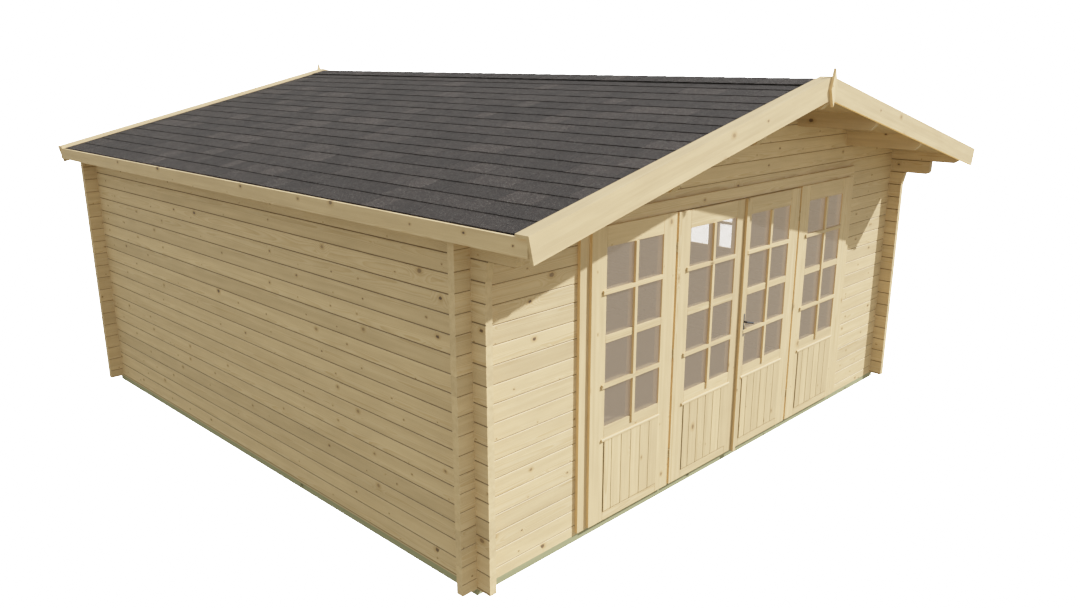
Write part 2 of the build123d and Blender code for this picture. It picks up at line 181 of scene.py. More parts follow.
# Growth rings round a pith that lies at random in each log or board
board_spacing = 0.6
board_seed_spread = 97.0
grain_shift = 40.0
ring_pitch = 0.0030
ring_pitch_spread = 0.0022
pith_reach = 0.11
pith_spread = 0.2
log_pith_spread = 0.09
log_pith_lift = log_pith_spread / 2
late_rise = (0.25, 0.88)
late_end = (0.90, 1.0)
wander_depth = 0.034
ripple_depth = 0.0035

# Rates of the wood's noise along and across the grain, in cycles a metre
wander_rates = (0.9, 5.0)
ripple_rates = (5.0, 26.0)
streak_rates = (1.3, 34.0)
fibre_rates = (9.0, 420.0)
mottle_rates = (4.0, 14.0)
blot_rates = (110.0, 110.0, 110.0)

# Strength of the wood's grain, its tones, shine and relief
grain_strength = (0.30, 0.75)
board_tones = (0.90, 1.06)
streak_tones = (1.07, 0.90)
fibre_tones = (0.97, 1.03)
mottle_tones = (0.94, 1.06)
wood_roughness = (0.66, 0.46)
wood_shine = 0.32
wood_relief = 0.0004
late_relief_share = 0.35

# Knots are a little longer along the grain, with ragged edges
knot_spacing = 0.36
knot_layers = 31.0
knot_scatter = 0.8
knot_flatness = 0.7
knot_unevenness = 0.010
knot_least_radius = 0.0028
knot_radius_spread = 0.011
knot_size_power = 3.0
knot_palest = 0.45
halo_share = 0.6
knot_bulge = 0.011

# Where a knot's core, halo and ring bulge fade out, in knot radii
knot_core_edge = (0.75, 1.1)
knot_halo_edge = (0.9, 2.6)
knot_bulge_edge = (0.5, 6.0)

# Shingle felt
granule_rate = 430.0
granule_reach = 0.7
granule_relief = 0.0012
granule_dark = (0.006, 0.0046, 0.0039)
granule_light = (0.047, 0.0352, 0.0300)
pale_granule = (0.22, 0.20, 0.18)
pale_granule_share = 0.07
pale_granule_depth = 0.55
patch_rates = (7.0, 7.0, 7.0)
patch_tones = (0.84, 1.14)
coarse_rates = (65.0, 65.0, 65.0)
coarse_tones = (0.66, 1.34)
dark_tab = 0.80
light_tab = 1.10
light_tab_start = 0.86
bright_tab = 1.38
bright_tab_start = 0.91
felt_roughness = (0.80, 0.97)
felt_shine = 0.25

# Metal
cloud_rates = (60.0, 60.0, 60.0)
cloud_relief_share = 0.6
metal_grain_rates = (900.0, 900.0, 900.0)
metal_polish = 0.08
metal_wear = 0.12
metal_relief = 0.0002

# Glass, with a painted reflection of daylight: an even glow on the panes
glass_wave_rates = (3.0, 3.0, 1.4)
glass_wave = 0.0006
glass_roughness = (0.03, 0.09)
glass_alpha = 0.40
glass_bending = 1.5
glass_painted_reflection_colour = (1.0, 0.75, 0.52)
glass_painted_reflection = 0.42
dust_rates = (40.0, 40.0, 18.0)
thin_dust = (0.07, 0.06, 0.048)
thick_dust = (0.11, 0.095, 0.078)

# Wood colours, linear
pine = {
    "early": (0.65, 0.482, 0.265),
    "late": (0.49, 0.322, 0.140),
    "halo": (0.40, 0.235, 0.090),
    "knot": (0.075, 0.046, 0.028),
    # Painted bounce light on narrow sides turned from the sun
    "edge": (0.84, 0.56, 0.26),
    # Painted shade in the joints between logs
    "painted_joint_shade": (0.13, 0.080, 0.034),
}
# Panel boards: their turned sides are painted dark, painted shade in the grooves between them
panel_pine_groove_shade = {**pine, "edge": (0.17, 0.12, 0.05)}
# Roof boards: darker all over, painted shade of the roof's underside
roof_pine_painted_shade = {**pine, "early": (0.49, 0.36, 0.20), "late": (0.38, 0.25, 0.11)}
treated_pine = {
    "early": (0.330, 0.330, 0.185),
    "late": (0.250, 0.240, 0.115),
    "halo": (0.22, 0.20, 0.09),
    "knot": (0.075, 0.060, 0.030),
}

# Places of a mix node's colour sockets, and of a curve mapping's combined curve
MIX_FIRST = 6
MIX_SECOND = 7
MIX_RESULT = 2
COMBINED_CURVE = 3


class Shader:
    """A material's node tree, with short calls that add and link nodes."""

    def __init__(self, name):
        self.material = bpy.data.materials.new(name)
        self.material.use_nodes = True
        self.nodes = self.material.node_tree.nodes
        self.links = self.material.node_tree.links
        self.surface = self.nodes["Principled BSDF"]
        self.places = self.nodes.new("ShaderNodeTexCoord")

    def put(self, socket, value):
        """Link a socket, or set it where the value is a number or a colour."""
        if isinstance(value, bpy.types.NodeSocket):
            self.links.new(value, socket)
        else:
            socket.default_value = value

    def node(self, kind, values=(), **settings):
        """Add a node, with its settings and its first inputs."""
        node = self.nodes.new(kind)
        for name, setting in settings.items():
            setattr(node, name, setting)
        for socket, value in zip(node.inputs, values):
            self.put(socket, value)
        return node

    def math(self, operation, *values):
        return self.node("ShaderNodeMath", values, operation=operation).outputs[0]

    def vector(self, operation, *values):
        return self.node("ShaderNodeVectorMath", values, operation=operation).outputs[0]

    def length(self, vector):
        return self.node("ShaderNodeVectorMath", [vector], operation="LENGTH").outputs["Value"]

    def join(self, x, y, z):
        return self.node("ShaderNodeCombineXYZ", [x, y, z]).outputs[0]

    def split(self, vector):
        return self.node("ShaderNodeSeparateXYZ", [vector]).outputs

    def noise(self, place, detail):
        """Noise at one cycle a unit of the given place, from 0 to 1."""
        node = self.node("ShaderNodeTexNoise")
        self.put(node.inputs["Vector"], place)
        node.inputs["Scale"].default_value = 1.0
        node.inputs["Detail"].default_value = detail
        return node.outputs[0]

    def chance(self, place):
        """Three random numbers that stay the same for the same place."""
        node = self.node("ShaderNodeTexWhiteNoise", [place], noise_dimensions="3D")
        return self.split(node.outputs["Color"])

    def remap(self, value, low, high, new_low, new_high):
        return self.node("ShaderNodeMapRange", [value, low, high, new_low, new_high]).outputs[0]

    def mix(self, share, first, second):
        """A colour between two others."""
        node = self.node("ShaderNodeMix", data_type="RGBA")
        self.put(node.inputs[0], share)
        for place, colour in ((MIX_FIRST, first), (MIX_SECOND, second)):
            value = colour if isinstance(colour, bpy.types.NodeSocket) else (*colour, 1.0)
            self.put(node.inputs[place], value)
        return node.outputs[MIX_RESULT]

    def brighten(self, colour, factor):
        """A colour times a number."""
        node = self.node("ShaderNodeVectorMath", operation="SCALE")
        self.put(node.inputs[0], colour)
        self.put(node.inputs["Scale"], factor)
        return node.outputs[0]

    def attribute(self, name):
        node = self.node("ShaderNodeAttribute", attribute_name=name)
        return node.outputs["Fac"]

    def bump(self, height, depth):
        """Relief of a given depth from a height between 0 and 1."""
        node = self.node("ShaderNodeBump")
        self.put(node.inputs["Height"], height)
        node.inputs["Distance"].default_value = depth
        node.inputs["Strength"].default_value = 1.0
        self.put(self.surface.inputs["Normal"], node.outputs[0])

    def set(self, name, value):
        self.put(self.surface.inputs[name], value)


def grain_axes(shader, run):
    """Places as along the grain, through the board and across it."""
    x, y, z = shader.split(shader.places.outputs["Object"])
    if run == "x":
        return x, y, z
    if run == "y":
        return y, x, z
    if run == "z":
        return z, y, x
    side = shader.math("ABSOLUTE", x)
    down = shader.math("SUBTRACT", shader.math("MULTIPLY", side, math.cos(roof_pitch)),
                       shader.math("MULTIPLY", z, math.sin(roof_pitch)))
    up = shader.math("ADD", shader.math("MULTIPLY", side, math.sin(roof_pitch)),
                     shader.math("MULTIPLY", z, math.cos(roof_pitch)))
    return down, y, up


def turned_edge(shader):
    """How far a face looks left or down, away from the sun, from 0 to 1: where light and shade are painted
    on turned sides.
    """
    x, _, z = shader.split(shader.places.outputs["Normal"])
    lowest = shader.math("MINIMUM", x, z)
    return shader.remap(lowest, -turned_full, -turned_start, 1.0, 0.0)


def end_grain(shader, run):
    """How far a face is a cut across the grain, from 0 to 1."""
    x, y, z = shader.split(shader.places.outputs["Normal"])
    facing = {"x": x, "y": y, "z": z}.get(run, x)
    return shader.remap(shader.math("ABSOLUTE", facing), cut_start, cut_full, 0.0, 1.0)


def grain_noise(shader, places, rates, detail):
    """Noise drawn out along the grain, with its rates along and across it."""
    along, through, across = places
    drawn = shader.join(shader.math("MULTIPLY", along, rates[0]), shader.math("MULTIPLY", across, rates[1]),
                        shader.math("MULTIPLY", through, rates[1]))
    return shader.noise(drawn, detail)


def log_courses(shader, through, across, board, course_start, joint_line):
    """Height in its own log, seed and painted shade line at the joints of a wall of stacked logs."""
    above = shader.math("SUBTRACT", across, course_start)
    course = shader.math("FLOOR", shader.math("DIVIDE", above, log_height))
    wall = shader.math("GREATER_THAN", through, 0.0)
    centre = shader.math("MULTIPLY_ADD", course, log_height, course_start + log_height / 2)
    height = shader.math("SUBTRACT", across, centre)
    edge = shader.math("SUBTRACT", log_height / 2, shader.math("ABSOLUTE", height))
    painted_joint_shade = shader.remap(edge, joint_line, joint_line * 2, joint_shade_share, 0.0)
    return height, shader.join(course, wall, board), painted_joint_shade


def board_seed(shader, through, across, board, spacing):
    """Seed of each board, also by its place where one node holds several."""
    if not spacing:
        return shader.join(board, 0.0, 0.0)
    return shader.join(board, shader.math("ROUND", shader.math("DIVIDE", through, spacing)),
                       shader.math("ROUND", shader.math("DIVIDE", across, spacing)))


def find_knots(shader, run_place, height, layer, blot, share, cut):
    """Core, halo, ring bulge and darkness of the nearest knot."""
    place = shader.join(shader.math("DIVIDE", run_place, knot_spacing),
                        shader.math("ADD", shader.math("DIVIDE", height, log_height), 0.5),
                        shader.math("MULTIPLY", layer, knot_layers))
    cells = shader.node("ShaderNodeTexVoronoi", voronoi_dimensions="3D")
    shader.put(cells.inputs["Vector"], place)
    cells.inputs["Scale"].default_value = 1.0
    cells.inputs["Randomness"].default_value = knot_scatter
    away = shader.vector("MULTIPLY", shader.vector("SUBTRACT", place, cells.outputs["Position"]),
                         (knot_spacing * knot_flatness, log_height, 0.0))
    raggedness = shader.math("SUBTRACT", blot, 0.5)
    distance = shader.math("MULTIPLY_ADD", raggedness, knot_unevenness, shader.length(away))
    chance, size, darkness = shader.split(cells.outputs["Color"])
    here = shader.math("LESS_THAN", chance, share)
    growth = shader.math("POWER", size, knot_size_power)
    radius = shader.math("MULTIPLY_ADD", growth, knot_radius_spread, knot_least_radius)
    nearness = shader.math("DIVIDE", distance, radius)
    on_face = shader.math("MULTIPLY", here, shader.math("SUBTRACT", 1.0, cut))
    core = shader.math("MULTIPLY", on_face, shader.remap(nearness, *knot_core_edge, 1.0, 0.0))
    halo = shader.math("MULTIPLY", on_face, shader.remap(nearness, *knot_halo_edge, 1.0, 0.0))
    bulge = shader.math("MULTIPLY", here, shader.remap(nearness, *knot_bulge_edge, knot_bulge, 0.0))
    return core, halo, bulge, darkness


def late_wood(shader, places, height, depth_chance, height_chance, stacked, bulge):
    """How late in its growth ring the wood is, from 0 to 1, with the rings bent round the knots."""
    pith_depth = shader.math("MULTIPLY_ADD", depth_chance, pith_spread, places[1])
    pith_depth = shader.math("PINGPONG", pith_depth, pith_reach)
    if stacked:
        lowered = shader.math("SUBTRACT", height, log_pith_lift)
        pith_height = shader.math("MULTIPLY_ADD", height_chance, log_pith_spread, lowered)
    else:
        pith_height = shader.math("MULTIPLY_ADD", height_chance, pith_spread, height)
        pith_height = shader.math("PINGPONG", pith_height, pith_reach)
    distance = shader.length(shader.join(pith_depth, pith_height, 0.0))
    wander = shader.math("MULTIPLY", grain_noise(shader, places, wander_rates, detail=1.0), wander_depth)
    ripple = shader.math("MULTIPLY", grain_noise(shader, places, ripple_rates, detail=2.0), ripple_depth)
    bent = shader.math("ADD", shader.math("ADD", distance, shader.math("ADD", wander, ripple)), bulge)
    pitch = shader.math("MULTIPLY_ADD", depth_chance, ring_pitch_spread, ring_pitch)
    ring = shader.math("FRACT", shader.math("DIVIDE", bent, pitch))
    rise = shader.remap(ring, *late_rise, 0.0, 1.0)
    return shader.math("MULTIPLY", rise, shader.remap(ring, *late_end, 1.0, 0.0))


def make_wood(name, run, palette=pine, course_start=None, piece_spacing=None, knot_share=0.5,
              knot_depth=1.0, painted_side_share=0.0, joint_line=sunlit_joint_line, painted_cut_shade=1.0, painted_side_glow=0.0):
    """Planed softwood, with growth rings, streaks and knots that run through each log or board."""
    shader = Shader(name)
    along, through, across = grain_axes(shader, run)
    cut = end_grain(shader, run)
    uncut = shader.math("SUBTRACT", 1.0, cut)
    board = shader.math("MULTIPLY", shader.attribute("board"), board_seed_spread)
    stacked = course_start is not None
    if stacked:
        height, seed, painted_joint_shade = log_courses(shader, through, across, board, course_start, joint_line)
    else:
        height = across
        seed = board_seed(shader, through, across, board, piece_spacing)
    first, second, third = shader.chance(seed)
    run_place = shader.math("ADD", along, shader.math("MULTIPLY", first, grain_shift))
    places = (run_place, through, across)

    blot_place = shader.vector("MULTIPLY", shader.join(along, through, across), blot_rates)
    blot = shader.noise(blot_place, detail=2.0)
    core, halo, bulge, darkness = find_knots(shader, run_place, height, first, blot, knot_share, cut)
    late = late_wood(shader, places, height, second, third, stacked, bulge)
    streak = grain_noise(shader, places, streak_rates, detail=3.0)
    fibre = grain_noise(shader, places, fibre_rates, detail=2.0)
    mottle = grain_noise(shader, places, mottle_rates, detail=4.0)

    grain = shader.math("MULTIPLY", late, shader.remap(streak, *narrow_noise, *grain_strength))
    colour = shader.mix(grain, palette["early"], palette["late"])
    colour = shader.mix(shader.math("MULTIPLY", halo, halo_share), colour, palette["halo"])
    depth = shader.remap(darkness, 0.0, 1.0, knot_palest * knot_depth, knot_depth)
    colour = shader.mix(shader.math("MULTIPLY", core, depth), colour, palette["knot"])
    # Painted shade: a dark line where two logs meet
    if stacked:
        colour = shader.mix(shader.math("MULTIPLY", painted_joint_shade, uncut), colour, palette["painted_joint_shade"])
    # Painted light on sides turned from the sun: a warm bounce light, and painted groove shade on the panel
    # boards
    if painted_side_share:
        painted_side_mask = shader.math("MULTIPLY", turned_edge(shader), uncut)
        colour = shader.mix(shader.math("MULTIPLY", painted_side_mask, painted_side_share), colour, palette["edge"])
    tone = shader.math("MULTIPLY", shader.remap(third, 0.0, 1.0, *board_tones),
                       shader.remap(streak, *wide_noise, *streak_tones))
    tone = shader.math("MULTIPLY", tone, shader.remap(fibre, *wide_noise, *fibre_tones))
    tone = shader.math("MULTIPLY", tone, shader.remap(mottle, *middle_noise, *mottle_tones))
    # Painted shade on end cuts where asked, as on the purlins' ends
    tone = shader.math("MULTIPLY", tone, shader.remap(cut, 0.0, 1.0, 1.0, painted_cut_shade))
    shader.set("Base Color", shader.brighten(colour, tone))
    shader.set("Roughness", shader.remap(shader.math("ADD", grain, core), 0.0, 1.0, *wood_roughness))
    shader.surface.inputs["Specular IOR Level"].default_value = wood_shine
    # Painted glow on sides turned from the sun, though the wood is no lamp
    if painted_side_glow:
        shader.surface.inputs["Emission Color"].default_value = (*painted_side_glow_colour, 1.0)
        shader.set("Emission Strength", shader.math("MULTIPLY", painted_side_mask, painted_side_glow))
    fine = shader.math("MULTIPLY", fibre, 1.0 - late_relief_share)
    relief = shader.math("MULTIPLY_ADD", late, late_relief_share, fine)
    shader.bump(shader.math("SUBTRACT", relief, core), wood_relief)
    return shader.material


def grey(level):
    return level, level, level, 1.0


def make_shingle_felt():
    """Mineral granules on bitumen, each tab its own tone."""
    shader = Shader("shingle_felt_granules")
    place = shader.places.outputs["Object"]
    cells = shader.node("ShaderNodeTexVoronoi", voronoi_dimensions="3D")
    shader.put(cells.inputs["Vector"], place)
    cells.inputs["Scale"].default_value = granule_rate
    kind, size, _ = shader.split(cells.outputs["Color"])
    patch = shader.noise(shader.vector("MULTIPLY", place, patch_rates), detail=4.0)
    coarse = shader.noise(shader.vector("MULTIPLY", place, coarse_rates), detail=3.0)
    colour = shader.mix(kind, granule_dark, granule_light)
    pale = shader.math("GREATER_THAN", size, 1.0 - pale_granule_share)
    colour = shader.mix(shader.math("MULTIPLY", pale, pale_granule_depth), colour, pale_granule)
    level = shader.node("ShaderNodeValToRGB", [shader.attribute("board")])
    stops = level.color_ramp.elements
    stops[0].position = 0.0
    stops[0].color = grey(dark_tab)
    stops[1].position = light_tab_start
    stops[1].color = grey(light_tab)
    bright = stops.new(bright_tab_start)
    bright.color = grey(bright_tab)
    tone = shader.math("MULTIPLY", level.outputs[0], shader.remap(patch, *middle_noise, *patch_tones))
    tone = shader.math("MULTIPLY", tone, shader.remap(coarse, *wide_noise, *coarse_tones))
    shader.set("Base Color", shader.brighten(colour, tone))
    shader.set("Roughness", shader.remap(kind, 0.0, 1.0, *felt_roughness))
    shader.surface.inputs["Specular IOR Level"].default_value = felt_shine
    grit = shader.remap(cells.outputs["Distance"], 0.0, granule_reach, 1.0, 0.0)
    shader.bump(grit, granule_relief)
    return shader.material


def make_metal(name, dark, light, metallic, roughness):
    """Cast or plated metal with fine cloudy wear."""
    shader = Shader(name)
    place = shader.places.outputs["Object"]
    cloud = shader.noise(shader.vector("MULTIPLY", place, cloud_rates), detail=4.0)
    grain = shader.noise(shader.vector("MULTIPLY", place, metal_grain_rates), detail=2.0)
    shader.set("Base Color", shader.mix(cloud, dark, light))
    shader.surface.inputs["Metallic"].default_value = metallic
    worn = roughness + metal_wear
    shader.set("Roughness", shader.remap(grain, *wide_noise, roughness - metal_polish, worn))
    fine = shader.math("MULTIPLY", grain, 1.0 - cloud_relief_share)
    shader.bump(shader.math("MULTIPLY_ADD", cloud, cloud_relief_share, fine), metal_relief)
    return shader.material


def make_glass():
    """Thin window glass, slightly uneven, with a pale glow on it as a painted reflection of the bright
    surroundings.
    """
    shader = Shader("clear_glass_pane")
    place = shader.places.outputs["Object"]
    wave = shader.noise(shader.vector("MULTIPLY", place, glass_wave_rates), detail=1.0)
    dust = shader.noise(shader.vector("MULTIPLY", place, dust_rates), detail=4.0)
    shader.set("Base Color", shader.mix(dust, thin_dust, thick_dust))
    # Painted reflection: an even glow in place of the reflected surroundings
    shader.surface.inputs["Emission Color"].default_value = (*glass_painted_reflection_colour, 1.0)
    shader.surface.inputs["Emission Strength"].default_value = glass_painted_reflection
    shader.set("Roughness", shader.remap(dust, *narrow_noise, *glass_roughness))
    shader.surface.inputs["Alpha"].default_value = glass_alpha
    shader.surface.inputs["IOR"].default_value = glass_bending
    shader.bump(wave, glass_wave)
    return shader.material


# Trim and edged joinery get painted light on their sides turned from the sun
trim = {"piece_spacing": board_spacing, "knot_share": 0.35, "painted_side_share": joinery_painted_side_share}
joinery = {"knot_share": 0.3, "knot_depth": 0.6}
edged_joinery = {**joinery, "painted_side_share": joinery_painted_side_share}

log_wood_x = make_wood("pine_logs_across", "x", course_start=0.0)
# The side walls get a wider painted shade line in their joints
log_wood_y = make_wood("pine_logs_along", "y", course_start=side_log_base, knot_share=0.55,
                       joint_line=shaded_joint_line)
# The purlins' end cuts are darkened: painted shade
purlin_wood = make_wood("pine_purlins", "y", piece_spacing=board_spacing, knot_share=0.7, painted_cut_shade=0.75)
# The sloping boards glow on their turned sides: painted light
sloping_wood = make_wood("pine_sloping_boards", "slope", knot_depth=0.7, painted_side_glow=board_painted_glow, **trim)
upright_wood = make_wood("pine_uprights", "z", knot_depth=0.6, **trim)
level_wood = make_wood("pine_head_boards", "x", knot_depth=0.6, **trim)
board_wood_x = make_wood("pine_boards_across", "x", **edged_joinery)
board_wood_y = make_wood("pine_boards_along", "y", **joinery)
board_wood_z = make_wood("pine_boards_upright", "z", **edged_joinery)
# Panel boards with painted groove shade on their turned sides
panel_board_wood = make_wood("pine_panel_boards", "z", panel_pine_groove_shade, **edged_joinery)
# Roof boards darkened: painted shade under the roof
roof_board_wood = make_wood("pine_roof_boards", "slope", roof_pine_painted_shade, knot_share=0.45)
beam_wood_x = make_wood("green_treated_pine_across", "x", treated_pine, piece_spacing=board_spacing)
beam_wood_y = make_wood("green_treated_pine_along", "y", treated_pine, piece_spacing=board_spacing)
shingle_felt = make_shingle_felt()
pane_glass = make_glass()
black_iron = make_metal("black_cast_iron", (0.006, 0.006, 0.007), (0.016, 0.015, 0.017), 0.0, 0.60)
grey_iron = make_metal("grey_iron_plate", (0.045, 0.045, 0.050), (0.080, 0.080, 0.088), 0.2, 0.50)
hinge_steel = make_metal("yellow_zinc_steel", (0.40, 0.27, 0.12), (0.52, 0.37, 0.18), 0.3, 0.50)
zinc_steel = make_metal("zinc_plated_steel", (0.42, 0.41, 0.38), (0.62, 0.61, 0.58), 1.0, 0.34)


class Joined:
    """One mesh of many small solids, each with its own tint number for the material."""

    def __init__(self, name, seed):
        self.name = name
        self.bm = bmesh.new()
        self.tint = self.bm.faces.layers.float.new("board")
        self.random = random.Random(seed)

    def solid(self, low_loop, high_loop, material=0):
        """A closed solid between two loops of as many points."""
        tint = self.random.random()
        low = [self.bm.verts.new(point) for point in low_loop]
        high = [self.bm.verts.new(point) for point in high_loop]
        faces = [self.bm.faces.new(low), self.bm.faces.new(high)]
        for index in range(len(low)):
            after = (index + 1) % len(low)
            faces.append(self.bm.faces.new((low[index], low[after], high[after], high[index])))
        for face in faces:
            face[self.tint] = tint
            face.material_index = material
        bmesh.ops.recalc_face_normals(self.bm, faces=faces)

    def prism(self, axis, outline, low, high, material=0):
        """An outline in the other two axes, pushed along one from low to high."""
        loops = []
        for level in (low, high):
            if axis == "x":
                loops.append([(level, a, b) for a, b in outline])
            elif axis == "y":
                loops.append([(a, level, b) for a, b in outline])
            else:
                loops.append([(a, b, level) for a, b in outline])
        self.solid(*loops, material)

    def box(self, x, y, z, material=0):
        self.prism("z", [(x[0], y[0]), (x[1], y[0]), (x[1], y[1]), (x[0], y[1])], z[0], z[1], material)

    def finish(self, materials, body, bevel=0.0, replaces=()):
        """Turn the solids into one object that rides on a body."""
        mesh = bpy.data.meshes.new(self.name)
        self.bm.to_mesh(mesh)
        self.bm.free()
        for material in materials:
            mesh.materials.append(material)
        piece = bpy.data.objects.new(self.name, mesh)
        bpy.context.scene.collection.objects.link(piece)
        if bevel:
            modifier = piece.modifiers.new("arris", "BEVEL")
            modifier.width = bevel
            modifier.segments = bevel_segments
            modifier.limit_method = "ANGLE"
        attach(piece, body)
        if replaces:
            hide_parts(*replaces)


class Leaf:
    """Levels and edges of one glazed leaf, from the corners of its node and glass."""

    def __init__(self, node, glass, x_low, x_high, left_stile, right_stile):
        low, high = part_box(node)
        glass_low, glass_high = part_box(glass)
        self.low = x_low
        self.high = x_high
        self.inside = (x_low + left_stile, x_high - right_stile)
        self.front = low.y + panel_proud
        self.back = high.y
        self.bottom = low.z
        self.top = high.z
        self.glass_front = glass_low.y
        self.glass_back = glass_high.y
        self.boards_bottom = self.bottom + bottom_rail_height
        self.boards_top = self.boards_bottom + lower_panel_height
        self.glazing_bottom = glass_low.z
        self.glazing_top = glass_high.z
        middle = (self.glazing_bottom + self.glazing_top) / 2
        self.middle_rail = (middle - middle_rail_height / 2, middle + middle_rail_height / 2)

    def lights(self):
        """Height ranges of the lower and the upper light."""
        return [(self.glazing_bottom, self.middle_rail[0]), (self.middle_rail[1], self.glazing_top)]

    def bar_levels(self):
        return [(light[0] + light[1]) / 2 for light in self.lights()]


# Material slots of the joinery pieces
ACROSS = 0
UPRIGHT = 1
PANEL_BOARD = 2


def add_leaf_frame(mesh, leaf):
    """Full-height stiles with the rails between them."""
    depth = (leaf.front, leaf.back)
    between = (leaf.inside[0] + joint_gap, leaf.inside[1] - joint_gap)
    mesh.box((leaf.low, leaf.inside[0]), depth, (leaf.bottom, leaf.top), UPRIGHT)
    mesh.box((leaf.inside[1], leaf.high), depth, (leaf.bottom, leaf.top), UPRIGHT)
    mesh.box(between, depth, (leaf.bottom, leaf.boards_bottom), ACROSS)
    mesh.box(between, depth, (leaf.boards_top, leaf.glazing_bottom), ACROSS)
    mesh.box(between, depth, leaf.middle_rail, ACROSS)
    mesh.box(between, depth, (leaf.glazing_top, leaf.top), ACROSS)


def add_leaf_boards(mesh, leaf):
    """Raised upright boards below the glass, the leftmost one narrower, with a sloping foot."""
    low = leaf.boards_bottom
    high = leaf.boards_top - moulding_drop
    width = (leaf.inside[1] - leaf.inside[0] - narrow_board_width) / (board_count - 1)
    left = leaf.inside[0]
    proud = leaf.front - panel_proud
    root = leaf.front + board_gap_depth
    profile = [
        (root, low), (leaf.front, low), (proud, low + board_foot_height), (proud, high),
        (leaf.front, high), (leaf.front, leaf.boards_top), (root, leaf.boards_top),
    ]
    for index in range(board_count):
        right = left + (width if index else narrow_board_width)
        mesh.prism("x", profile, left + board_gap / 2, right - board_gap / 2, PANEL_BOARD)
        mesh.box((left, right), (root, leaf.back), (low, leaf.boards_top), UPRIGHT)
        left = right


def add_moulding(mesh, leaf):
    """Drip moulding over the boards, with a sloping top."""
    low = leaf.boards_top - moulding_drop
    high = low + moulding_height
    face = leaf.front - moulding_proud
    slope_start = high - moulding_height * moulding_slope_share
    top_edge = face * moulding_top_share + leaf.front * (1.0 - moulding_top_share)
    profile = [(leaf.front, low), (face, low), (face, slope_start), (top_edge, high), (leaf.front, high)]
    left = leaf.inside[0] - moulding_left_overlap
    right = leaf.inside[1] + moulding_right_overlap
    mesh.prism("x", profile, left, right, ACROSS)


def add_bars(mesh, leaf):
    """Glazing bars outside and inside the panes. The level ones lap over the left stile."""
    centre = (leaf.inside[0] + leaf.inside[1]) / 2
    upright = (centre - bar_width / 2, centre + bar_width / 2)
    face = leaf.front - bar_proud
    lower, upper = leaf.lights()
    back_face = face + bar_setback
    profile = [
        (back_face, lower[0] - bar_foot), (back_face, upper[1]), (leaf.glass_front, upper[1]),
        (leaf.glass_front, upper[0]), (leaf.front, upper[0]), (leaf.front, lower[1]),
        (leaf.glass_front, lower[1]), (leaf.glass_front, lower[0]), (leaf.front, lower[0]),
        (leaf.front, lower[0] - bar_foot),
    ]
    mesh.prism("x", profile, *upright, UPRIGHT)
    for light, level in zip(leaf.lights(), leaf.bar_levels()):
        z = (level - bar_width / 2, level + bar_width / 2)
        outline = [
            (leaf.inside[0] - bar_overlap, face), (leaf.inside[1], face), (leaf.inside[1], leaf.glass_front),
            (leaf.inside[0], leaf.glass_front), (leaf.inside[0], leaf.front),
            (leaf.inside[0] - bar_overlap, leaf.front),
        ]
        mesh.prism("z", outline, *z, ACROSS)
        mesh.box(leaf.inside, (leaf.glass_back, leaf.back), z, ACROSS)
        mesh.box(upright, (leaf.glass_back, leaf.back - bar_setback), light, UPRIGHT)


def make_leaves(label, leaves, body, node, seed):
    """Frame, boards, moulding and bars of one moving leaf or of both fixed panels."""
    parts = (("frame", add_leaf_frame, arris), ("boards", add_leaf_boards, board_arris),
             ("moulding", add_moulding, arris), ("bars", add_bars, arris))
    for number, (part, add, bevel) in enumerate(parts):
        mesh = Joined(f"{label}_{part}", seed + number)
        for leaf in leaves:
            add(mesh, leaf)
        replaced = (node,) if part == "frame" else ()
        mesh.finish([board_wood_x, board_wood_z, panel_board_wood], body, bevel, replaced)


def make_door_set():
    """The two doors and the fixed panels beside them."""
    left_low, left_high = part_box("door_leaf_left")
    right_low, right_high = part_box("door_leaf_right")
    panel_low, panel_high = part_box("side_panels")
    left = Leaf("door_leaf_left", "door_glass_left", left_low.x, left_high.x, outer_stile_width,
                meeting_stile_width)
    right = Leaf("door_leaf_right", "door_glass_right", right_low.x, right_high.x, meeting_stile_width,
                 outer_stile_width)
    make_leaves("door_left", [left], "left_leaf", "door_leaf_left", seed=11)
    make_leaves("door_right", [right], "right_leaf", "door_leaf_right", seed=21)
    panels = []
    for x_low in (panel_low.x, panel_high.x - side_panel_width):
        panels.append(Leaf("side_panels", "side_panel_glass", x_low, x_low + side_panel_width,
                           outer_stile_width, outer_stile_width))
    make_leaves("side_panel", panels, "cabin", "side_panels", seed=31)


def ring_boards(mesh, x, y, z, width):
    """Four boards round a rectangle in the right wall, the upright ones full height."""
    mesh.box(x, (y[0], y[0] + width), z, UPRIGHT)
    mesh.box(x, (y[1] - width, y[1]), z, UPRIGHT)
    mesh.box(x, (y[0] + width, y[1] - width), (z[0], z[0] + width), ACROSS)
    mesh.box(x, (y[0] + width, y[1] - width), (z[1] - width, z[1]), ACROSS)


